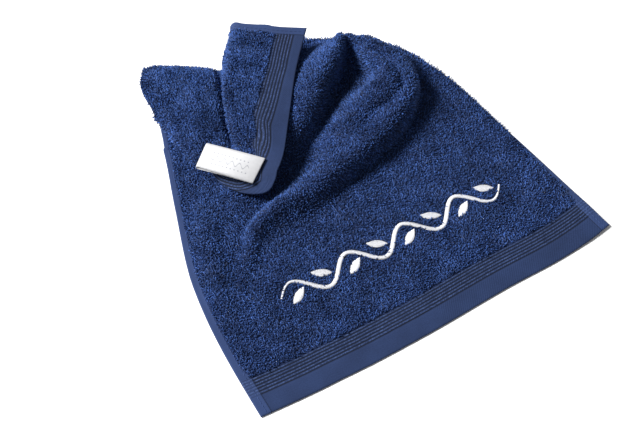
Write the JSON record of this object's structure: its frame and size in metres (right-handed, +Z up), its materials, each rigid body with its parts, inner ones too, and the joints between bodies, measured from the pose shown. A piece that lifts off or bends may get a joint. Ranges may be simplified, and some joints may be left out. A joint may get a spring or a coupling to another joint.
{
  "type": "hand towel",
  "caption": "Terry hand towel lying loosely gathered, its far end turned over on standing folds, with ribbed borders and a sewn-in ribbon loop.",
  "frame": {"origin": "middle of the space the towel takes up, on the surface it lies on", "axes": "+Z up, X along the front end hem, +Y from the front end hem towards the turned-over end"},
  "size_m": [0.3001, 0.3178, 0.0334],
  "materials": {
    "towel_cloth": "cut of cotton loop pile, dyed navy, matte",
    "loop_label": "woven satin ribbon, white, slightly glossy"
  },
  "bodies": {
    "root": {"towel_cloth": "towel_cloth", "loop_label": "loop_label"}
  },
  "joints": []
}
